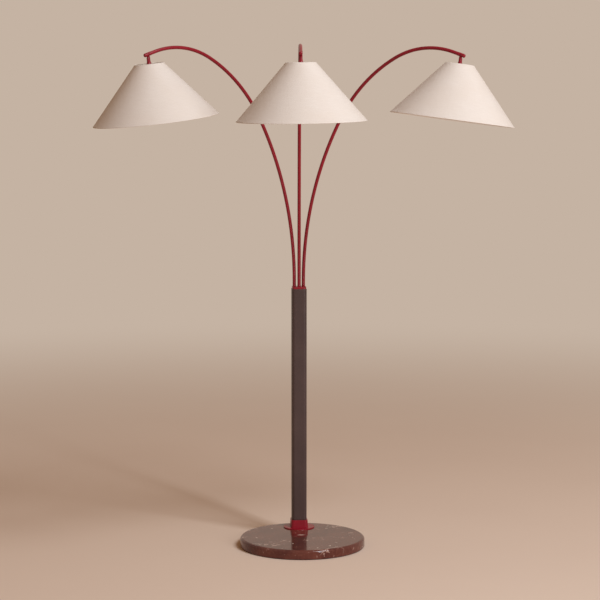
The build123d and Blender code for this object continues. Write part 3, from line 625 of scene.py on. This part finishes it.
# slot: name, two colours, blots in mm, depth of the relief in mm, roughness, other sockets
PLAIN_FINISHES = {
    # enamel in the screw's slot is thicker and glossier than on the tubes
    "red_screw": ("red_enamelled_screw", ENAMEL_RED, "#70101b", 4, 0.01, 0.3, {"Coat Weight": 0.8}),
    # extruded sheet: smooth, with a soft shine
    "lining": ("white_styrene_sheet", "#f2ece2", "#efe7da", 60, 0.01, 0.4, {"IOR": 1.59}),
    # dipped wire: a slightly uneven, satin coat
    "white_wire": ("white_coated_wire", "#ece8df", "#e4dfd4", 12, 0.01, 0.4, {}),
    # pressed thermoset: dark, with the mould's gloss
    "black_plastic": ("black_thermoset", "#17161a", "#1f1d20", 8, 0.01, 0.35, {"IOR": 1.55}),
    # moulded polyamide: a dull, faintly waxy white
    "white_plastic": ("white_polyamide", "#e4e2dc", "#dcd9d2", 10, 0.01, 0.45, {"IOR": 1.53}),
    # punched nylon: the yellowish white of the undyed plastic
    "nylon": ("natural_nylon", "#ded9cb", "#d2ccbc", 5, 0.01, 0.4, {"IOR": 1.53}),
    # drawn silicone: soft, with no clear highlight
    "flex": ("silicone_sheath", "#d8d4cc", "#cfcac1", 10, 0.01, 0.5, {"IOR": 1.43}),
    # pressed wool: nearly black, rough, with a rim of lit fibres
    "felt": ("wool_felt", "#1b1816", "#2a2522", 3, 0.4, 0.95, {"Sheen Weight": 0.3}),
    # plated steel: a cool, bright metal
    "zinc_steel": ("zinc_plated_steel", "#b9bcc0", "#a3a6a8", 6, 0.01, 0.3, {"Metallic": 1.0}),
    # rolled aluminium: a paler, softer metal
    "lamp_cap": ("bare_aluminium", "#c9cacc", "#bcbdbf", 5, 0.01, 0.35, {"Metallic": 1.0}),
    # spun and waxed: dark, ribbed, slightly shiny
    "thread": ("waxed_linen_thread", "#2a1e1a", "#3a2b25", 1.5, 0.05, 0.6, {}),
    # blown glass with a white flash inside: very smooth, and not clear
    "lamp_glass": ("opal_glass", "#f3f1ec", "#efece5", 30, 0.005, 0.15, {"IOR": 1.52}),
}


def make_plain(name, colour, other, blot_mm, depth_mm, roughness, sockets):
    """A moulded, plated or coated finish."""
    finish, tree, spot = new_finish(name)
    blots = add(tree, "TexNoise", {"Vector": spot, "Scale": per_metre(blot_mm), "Detail": 3.0})
    share = add(tree, "MapRange", (blots, *BLOT_RANGE))
    mottle = add(tree, "Mix", {0: share, 6: colour, 7: other}, out=2, data_type="RGBA")
    bumps = add(tree, "TexNoise", {"Vector": spot, "Scale": per_metre(blot_mm / BUMPS_PER_BLOT)})
    relief = add(tree, "Bump", {"Height": bumps, "Distance": depth_mm * MM})
    shader = add(tree, "BsdfPrincipled", {"Base Color": mottle, "Roughness": roughness,
                                          "Normal": relief, **sockets})
    add(tree, "OutputMaterial", {"Surface": shader})
    return finish


for slot_name, recipe in PLAIN_FINISHES.items():
    FINISHES[slot_name] = make_plain(*recipe)
print("finishes:", ", ".join(FINISHES))

# %% [markdown]
# ## Dressing the solids
#
# Each solid could be given its finish by hand, but one is soon missed. The record already says
# which finish each solid has, so a loop takes it from there. The solids stay as they are: only
# their material changes.

# %% The solids' finishes
for part in frame["record"]["subparts"]:
    mesh = NODES[part["node"]].data
    mesh.materials.clear()
    mesh.materials.append(FINISHES[part["material_slot"]])
print(len(NODES), "solids dressed")

# %% [markdown]
# ## The shades' cloth
#
# A shade of this kind is a flat sheet of cloth on stiff backing, rolled into a cone, lapped and
# glued at the back, with its edges turned over the wire rings. It could be a cone primitive, but
# that has no thickness, no lap and no hems. Instead the outline of the wall is turned round the
# shade's own axis, with a rounded roll at each edge, and the points near the lap are pushed out by
# the cloth's thickness.
#
# The axis comes from the solids: the tilt joint gives the pivot and one direction, and the middle
# of the wire ring in the shade's foot gives the way down.

# %% The shade's own axes
EDGE_BAND = 0.1 * MM        # how near the top edge a point is to count as on it


def head_axes(arm):
    """A matrix with its origin at the pivot, +Y along the tilt axis and -Z down the middle."""
    joint = next(j for j in frame["joints"] if j["name"] == f"tilt_{arm}")
    pivot = Vector(joint["pos_m"])
    low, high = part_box(f"shade_foot_ring_{arm}")
    up = (pivot - (low + high) / 2).normalized()
    across = Vector(joint["axis"])
    across = (across - up * across.dot(up)).normalized()
    axes = Matrix((across.cross(up), across, up)).transposed().to_4x4()
    return Matrix.Translation(pivot) @ axes


def rings_of(node_name, axes):
    """(radius, height) of each point of a turned solid, in the shade's own axes."""
    inverse = axes.inverted()
    points = [inverse @ v.co for v in NODES[node_name].data.vertices]
    return [(math.hypot(p.x, p.y), p.z) for p in points]


HEADS = {arm: head_axes(arm) for arm in ARMS}
CONE = rings_of("shade_left", HEADS["left"])
SHADE_TOP = max(height for radius, height in CONE)
SHADE_FOOT = min(height for radius, height in CONE)
TOP_RADIUS = max(radius for radius, height in CONE if height > SHADE_TOP - EDGE_BAND)
FOOT_RADIUS = max(radius for radius, height in CONE)
print("shade:", round(2 * TOP_RADIUS, 4), "to", round(2 * FOOT_RADIUS, 4), "m across,",
      round(SHADE_TOP - SHADE_FOOT, 4), "m high")

# %% [markdown]
# The wall's section is drawn once, as a closed outline in the plane of radius and height. It goes
# down the cloth, round the foot's roll, up the lining and round the top's roll. At each edge the
# cloth is doubled, so it stands out a little over the height of the hem and slopes back to the
# wall. Each point says whether it lies on the cloth or on the lining.

# %% The wall's outline
CLOTH = 0.3 * MM            # how far the turned hems stand out from the wall
WALL = 1.2 * MM             # cloth and backing together
HEM_HEIGHT = 6.0 * MM
HEM_SLOPE = 2.5 * MM        # over which the cloth comes down from the hem to the wall
HEM_STEPS = 5
WALL_STEPS = 24
SLANT = Vector((FOOT_RADIUS - TOP_RADIUS, SHADE_FOOT - SHADE_TOP)).normalized()
OUTWARD = Vector((-SLANT.y, SLANT.x))
ON_CLOTH, ON_LINING = 0, 1


def roll(start, centre):
    """Points of a half circle from the start, about the centre, without its ends."""
    turns = [Matrix.Rotation(-math.pi * step / HEM_STEPS, 2) for step in range(1, HEM_STEPS)]
    return [(centre + turn @ (start - centre), ON_CLOTH) for turn in turns]


def wall_outline():
    """(point, side) round the wall's section."""
    hem = CLOTH * OUTWARD
    wall = 0 * OUTWARD
    lining = -WALL * OUTWARD
    inner_hem = -(WALL + CLOTH) * OUTWARD
    edge = (WALL + 2 * CLOTH) / 2
    top = Vector((TOP_RADIUS, SHADE_TOP)) + edge * SLANT - hem
    foot = Vector((FOOT_RADIUS, SHADE_FOOT)) - edge * SLANT - hem
    length = (foot - top).length
    low = length - HEM_HEIGHT
    step = (low - HEM_HEIGHT) / WALL_STEPS
    outer = [(0, hem), (HEM_HEIGHT - HEM_SLOPE, hem)]
    outer += [(HEM_HEIGHT + step * k, wall) for k in range(WALL_STEPS + 1)]
    outer += [(low + HEM_SLOPE, hem), (length, hem)]
    inner = [(length, inner_hem, ON_CLOTH), (low, inner_hem, ON_CLOTH),
             (low - CLOTH, lining, ON_LINING), (HEM_HEIGHT + CLOTH, lining, ON_LINING),
             (HEM_HEIGHT, inner_hem, ON_LINING), (0, inner_hem, ON_CLOTH)]
    middle = (hem + inner_hem) / 2
    points = [(top + SLANT * along + out, ON_CLOTH) for along, out in outer]
    points += roll(foot + hem, foot + middle)
    points += [(top + SLANT * along + out, side) for along, out, side in inner]
    return points + roll(top + inner_hem, top + middle)


OUTLINE = wall_outline()
print("the wall's outline has", len(OUTLINE), "points")

# %% [markdown]
# The outline is turned in steps of 5 to 6 mm at the foot, with closer ones at the lap so that its
# two edges stay crisp. A laminated cone is stiff but never quite true, so the wall wavers by a
# quarter of a millimetre. Each corner of a face also gets its place on the flat cloth: how far
# round, and how far down the slant.

# %% Turning the outline into cloth
SHADE_STEPS = 240
LAP_WIDTH = 12.0 * MM       # the glued lap at the back
LAP_RISE = 0.5 * MM
LAP_EDGE = 1.0 * MM
LAP_SIXTHS = (-6, -4, -3, -2, -1, 0, 1, 2, 3, 4, 6)     # of its width, from its middle
WAVER = 0.25 * MM
WAVER_ROUND = 3
WAVER_DOWN = 12             # per metre


def lap_rise(arc):
    """How far the cloth stands out, that far round from the lap's middle, in metres."""
    return LAP_RISE * max(0.0, min(1.0, (LAP_WIDTH / 2 + LAP_EDGE - abs(arc)) / LAP_EDGE))


def round_steps():
    """Angles round the cone from the lap, closer together beside it."""
    fine = [LAP_WIDTH / 2 / FOOT_RADIUS * k / 3 for k in LAP_SIXTHS]
    left_over = 2 * math.pi + fine[0] - fine[-1]
    return fine + [fine[-1] + left_over * k / SHADE_STEPS for k in range(1, SHADE_STEPS)]


def cloth_column(shape, axes, angle):
    """The outline's points at that angle. The lap is on the side that turns to the stem."""
    arc_angle = (angle + math.pi) % (2 * math.pi) - math.pi
    column = []
    for point, side in OUTLINE:
        at = (math.cos(angle) * WAVER_ROUND, math.sin(angle) * WAVER_ROUND, point.y * WAVER_DOWN)
        rise = lap_rise(arc_angle * point.x) if side == ON_CLOTH else 0
        radius = point.x + rise + WAVER * noise.noise(Vector(at))
        turned = Vector((-radius * math.cos(angle), radius * math.sin(angle), point.y))
        column.append(shape.verts.new(axes @ turned))
    return column


print("the lap is", LAP_WIDTH, "m wide, in", len(round_steps()), "steps round")

# %% Faces and objects


def cloth_face(shape, cloth_map, corners, finish_number):
    """One face, with its corners' places on the flat cloth."""
    face = shape.faces.new([vertex for vertex, place in corners])
    face.smooth = True
    face.material_index = finish_number
    for loop, (vertex, place) in zip(face.loops, corners):
        loop[cloth_map].uv = place


def make_piece(shape, name, *slot_names):
    """Turns a finished shape into an object in the scene, with those finishes."""
    bmesh.ops.recalc_face_normals(shape, faces=shape.faces)
    mesh = bpy.data.meshes.new(name)
    shape.to_mesh(mesh)
    shape.free()
    for slot_name in slot_names:
        mesh.materials.append(FINISHES[slot_name])
    return put_in(name, mesh)


print("a shade's wall will have", len(round_steps()) * len(OUTLINE), "faces")

# %% The cloth of each shade


def make_cloth(arm):
    shape = bmesh.new()
    cloth_map = shape.loops.layers.uv.new("cloth")
    angles = round_steps()
    columns = [cloth_column(shape, HEADS[arm], angle) for angle in angles]
    columns.append(columns[0])
    angles.append(angles[0] + 2 * math.pi)
    down = [0.0]
    for (point, _), (after, _) in zip(OUTLINE, OUTLINE[1:] + OUTLINE[:1]):
        down.append(down[-1] + (after - point).length)
    for k in range(len(columns) - 1):
        for row, (_, side) in enumerate(OUTLINE):
            below = (row + 1) % len(OUTLINE)
            corners = [(columns[at][line], (angles[at] * OUTLINE[line][0].x, depth))
                       for at, line, depth in ((k, row, down[row]), (k + 1, row, down[row]),
                                               (k + 1, below, down[row + 1]),
                                               (k, below, down[row + 1]))]
            cloth_face(shape, cloth_map, corners, max(side, OUTLINE[below][1]))
    return make_piece(shape, f"shade_cloth_{arm}", "linen", "lining")


for arm in ARMS:
    cloth = make_cloth(arm)
    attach(cloth, f"head_{arm}")
    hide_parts(f"shade_{arm}")
    print(cloth.name, len(cloth.data.polygons), "faces")

# %% [markdown]
# ## The leather on the stem
#
# The leather is one long strip, cut to the tube's girth, wetted, pulled round the square tube and
# closed with a butt seam down the back, where two rows of saddle stitch hold its edges. The solid
# is a plain square sleeve. Here the sleeve is drawn as a closed outline that goes up the stem ring
# by ring, so that its flats can swell a little between the corners, its edges round off, and the
# seam can sink in.

# %% The sleeve's outline
SLEEVE_LOW, SLEEVE_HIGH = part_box("leather_sleeve")
STEM_X = (SLEEVE_LOW.x + SLEEVE_HIGH.x) / 2
STEM_Y = (SLEEVE_LOW.y + SLEEVE_HIGH.y) / 2
SLEEVE_HALF = (SLEEVE_HIGH.x - SLEEVE_LOW.x) / 2
SLEEVE_CORNER = 9.9 * MM    # the tube's corner and the hide on it
SLEEVE_FLAT = SLEEVE_HALF - SLEEVE_CORNER
FLAT_STEPS = 10
CORNER_STEPS = 9
# closer together at the seam, then four even steps to the corner
SEAM_ARCS = [arc * MM for arc in (0.0, 0.25, 0.5, 0.8, 1.4, 2.2, 3.2, 4.4, 6.0)]
SEAM_STEPS = 4


def back_arcs():
    """Distances from the seam across the back's flat."""
    step = (SLEEVE_FLAT - SEAM_ARCS[-1]) / SEAM_STEPS
    one_way = SEAM_ARCS[1:] + [SEAM_ARCS[-1] + step * k for k in range(1, SEAM_STEPS)]
    return [-arc for arc in reversed(one_way)] + SEAM_ARCS[:1] + one_way


def sleeve_outline():
    """(place, outward, arc from the seam) round the stem, from the middle of the back."""
    points = []
    for side in range(4):
        turn = math.pi / 2 * side
        ahead = Vector((-math.sin(turn), math.cos(turn)))
        along = Vector((-math.cos(turn), -math.sin(turn)))
        plain = [SLEEVE_FLAT * (2 * k / FLAT_STEPS - 1) for k in range(1, FLAT_STEPS)]
        for arc in (plain if side else back_arcs()):
            points.append((ahead * SLEEVE_HALF + along * arc, ahead, None if side else arc))
        centre = (ahead + along) * SLEEVE_FLAT
        for step in range(CORNER_STEPS + 1):
            angle = math.pi / 2 * step / CORNER_STEPS
            out = ahead * math.cos(angle) + along * math.sin(angle)
            points.append((centre + out * SLEEVE_CORNER, out, None))
    return points


SLEEVE_OUTLINE = sleeve_outline()
print("the sleeve's outline has", len(SLEEVE_OUTLINE), "points")

# %% [markdown]
# The rings go up the outside from a rounded lower edge to a rounded upper one, and the last ring is
# joined to the first, down the inside. Where the two edges of the strip meet, the surface dips into
# a groove, with a low ridge on each side where the stitches pull the hide up.

# %% The sleeve's rings
HIDE = 1.4 * MM
EDGE_ROUND = 0.5 * MM
EDGE_BETWEEN = 0.15 * MM    # a point halfway round the edge
RING_SPACING = 5.0 * MM
SEAM_DEPTH = 0.5 * MM
SEAM_HALF = 0.5 * MM
RIDGE_HEIGHT = 0.15 * MM
RIDGE_PLACE = 1.6 * MM      # from the seam
RIDGE_WIDTH = 1.2 * MM


def seam_sink(arc):
    """How far the surface sinks, that far from the seam. It is below 0 on the ridge."""
    if arc is None:
        return 0.0
    groove = SEAM_DEPTH * max(0.0, 1 - abs(arc) / SEAM_HALF)
    return groove - RIDGE_HEIGHT * math.exp(-((abs(arc) - RIDGE_PLACE) / RIDGE_WIDTH) ** 2)


def sleeve_rings():
    """(height, how far inside the outline) of each ring, from the foot to the top."""
    foot, top = SLEEVE_LOW.z, SLEEVE_HIGH.z
    edge = [(0.0, HIDE), (0.0, EDGE_ROUND), (EDGE_BETWEEN, EDGE_BETWEEN), (EDGE_ROUND, 0.0)]
    count = round((top - foot) / RING_SPACING)
    between = [(foot + (top - foot) * k / count, 0.0) for k in range(1, count)]
    return ([(foot + up, inset) for up, inset in edge] + between
            + [(top - down, inset) for down, inset in reversed(edge)])


print(len(sleeve_rings()), "rings up the sleeve")

# %% The sleeve
SWELL = 0.12 * MM
SWELL_ACROSS = 25           # per metre
SWELL_UP = 14


def skin(shape, rings):
    """Faces between each closed ring of points and the next."""
    for ring, above in zip(rings, rings[1:]):
        for k in range(len(ring)):
            after = (k + 1) % len(ring)
            shape.faces.new([ring[k], ring[after], above[after], above[k]]).smooth = True


def sleeve_ring(shape, height, inset):
    ring = []
    for point, outward, arc in SLEEVE_OUTLINE:
        sink = inset
        if inset < EDGE_ROUND:
            at = Vector((point.x * SWELL_ACROSS, point.y * SWELL_ACROSS, height * SWELL_UP))
            sink = inset + seam_sink(arc) - SWELL * noise.noise(at)
        at = point - outward * sink
        ring.append(shape.verts.new((STEM_X + at.x, STEM_Y + at.y, height)))
    return ring


def make_sleeve():
    shape = bmesh.new()
    rings = [sleeve_ring(shape, height, inset) for height, inset in sleeve_rings()]
    skin(shape, rings + rings[:1])
    return make_piece(shape, "leather_wrap", "leather")


sleeve = make_sleeve()
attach(sleeve, "stand")
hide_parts("leather_sleeve")
print("sleeve:", len(sleeve.data.polygons), "faces")

# %% [markdown]
# ### The stitches
#
# A saddle stitch is a waxed thread that dips through a hole, runs a few millimetres over the
# leather and dips again. A painted line would have no height when one looks along the stem, so each
# stitch is a small bar with rounded, sunken ends. Two rows of them run up the back.

# %% Stitches
STITCH_PITCH = 6.0 * MM
STITCH_LENGTH = 4.6 * MM
STITCH_RADIUS = 0.4 * MM
STITCH_ROW = 3.4 * MM       # from the seam to each row
STITCH_LEAN = 0.3 * MM
STITCH_SIDES = 8
STITCH_MARGIN = 4.0 * MM    # from the sleeve's ends
STITCH_STATIONS = (-1.0, -0.92, -0.7, -0.3, 0.3, 0.7, 0.92, 1.0)    # in half lengths
STITCH_TIP = 0.05           # keeps the ends from closing to a point
STITCH_BED = 0.25           # how deep the thread lies in the hide, in radii
STITCH_DIP = 0.9            # how much deeper its ends go


def add_stitch(shape, x, y, height, lean):
    """One stitch on the back of the stem, its middle at that height."""
    rings = []
    for share in STITCH_STATIONS:
        thick = STITCH_RADIUS * math.sqrt(max(STITCH_TIP, 1 - share ** 4))
        sunk = STITCH_RADIUS * (STITCH_BED + STITCH_DIP * share ** 4)
        turns = [2 * math.pi * side / STITCH_SIDES for side in range(STITCH_SIDES)]
        rings.append([shape.verts.new((x + lean * share + thick * math.cos(turn),
                                       y - sunk + thick * math.sin(turn),
                                       height + share * STITCH_LENGTH / 2)) for turn in turns])
    skin(shape, rings)
    shape.faces.new(rings[0])
    shape.faces.new(rings[-1])


def make_stitches():
    shape = bmesh.new()
    span = SLEEVE_HIGH.z - SLEEVE_LOW.z - 2 * STITCH_MARGIN
    count = int(span / STITCH_PITCH)
    for number in range(count + 1):
        height = SLEEVE_LOW.z + STITCH_MARGIN + span * number / count
        for side in (-1, 1):
            add_stitch(shape, STEM_X + side * STITCH_ROW, STEM_Y + SLEEVE_HALF, height,
                       side * STITCH_LEAN)
    return make_piece(shape, "leather_stitches", "thread")


stitches = make_stitches()
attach(stitches, "stand")
print("stitches:", len(stitches.data.polygons), "faces")

# %% [markdown]
# ## The end
#
# A finer mesh must not make the lamp larger or smaller. Here the scene is only brought up to date
# after the new meshes.

# %% Bringing the scene up to date
bpy.context.view_layer.update()
